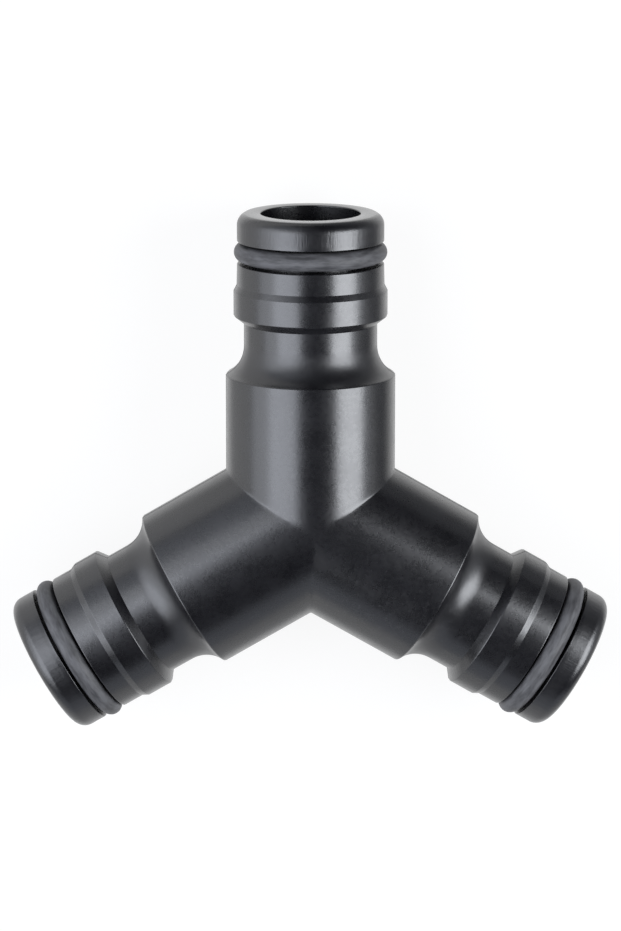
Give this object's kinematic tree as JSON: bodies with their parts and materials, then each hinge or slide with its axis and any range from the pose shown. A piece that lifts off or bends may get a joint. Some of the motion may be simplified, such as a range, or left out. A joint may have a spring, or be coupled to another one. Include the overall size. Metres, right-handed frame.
{
  "type": "three-way hose connector",
  "caption": "Moulded Y connector for click-on hose couplings, with equal hollow spigots at 120 degrees, each with a collar and a rubber sealing ring.",
  "frame": {"origin": "the point where the axes of the three arms meet, which is the centroid", "axes": "+Z square to the plane of the arms, the connector's threefold axis; +Y along the top arm, out of its mouth"},
  "size_m": [0.0676, 0.0589, 0.019],
  "materials": {
    "moulding": "satin moulded black",
    "seal": "matte rubber"
  },
  "bodies": {
    "root": {"connector_body": "moulding", "seal_ring_top": "seal", "seal_ring_left": "seal", "seal_ring_right": "seal"}
  },
  "joints": []
}
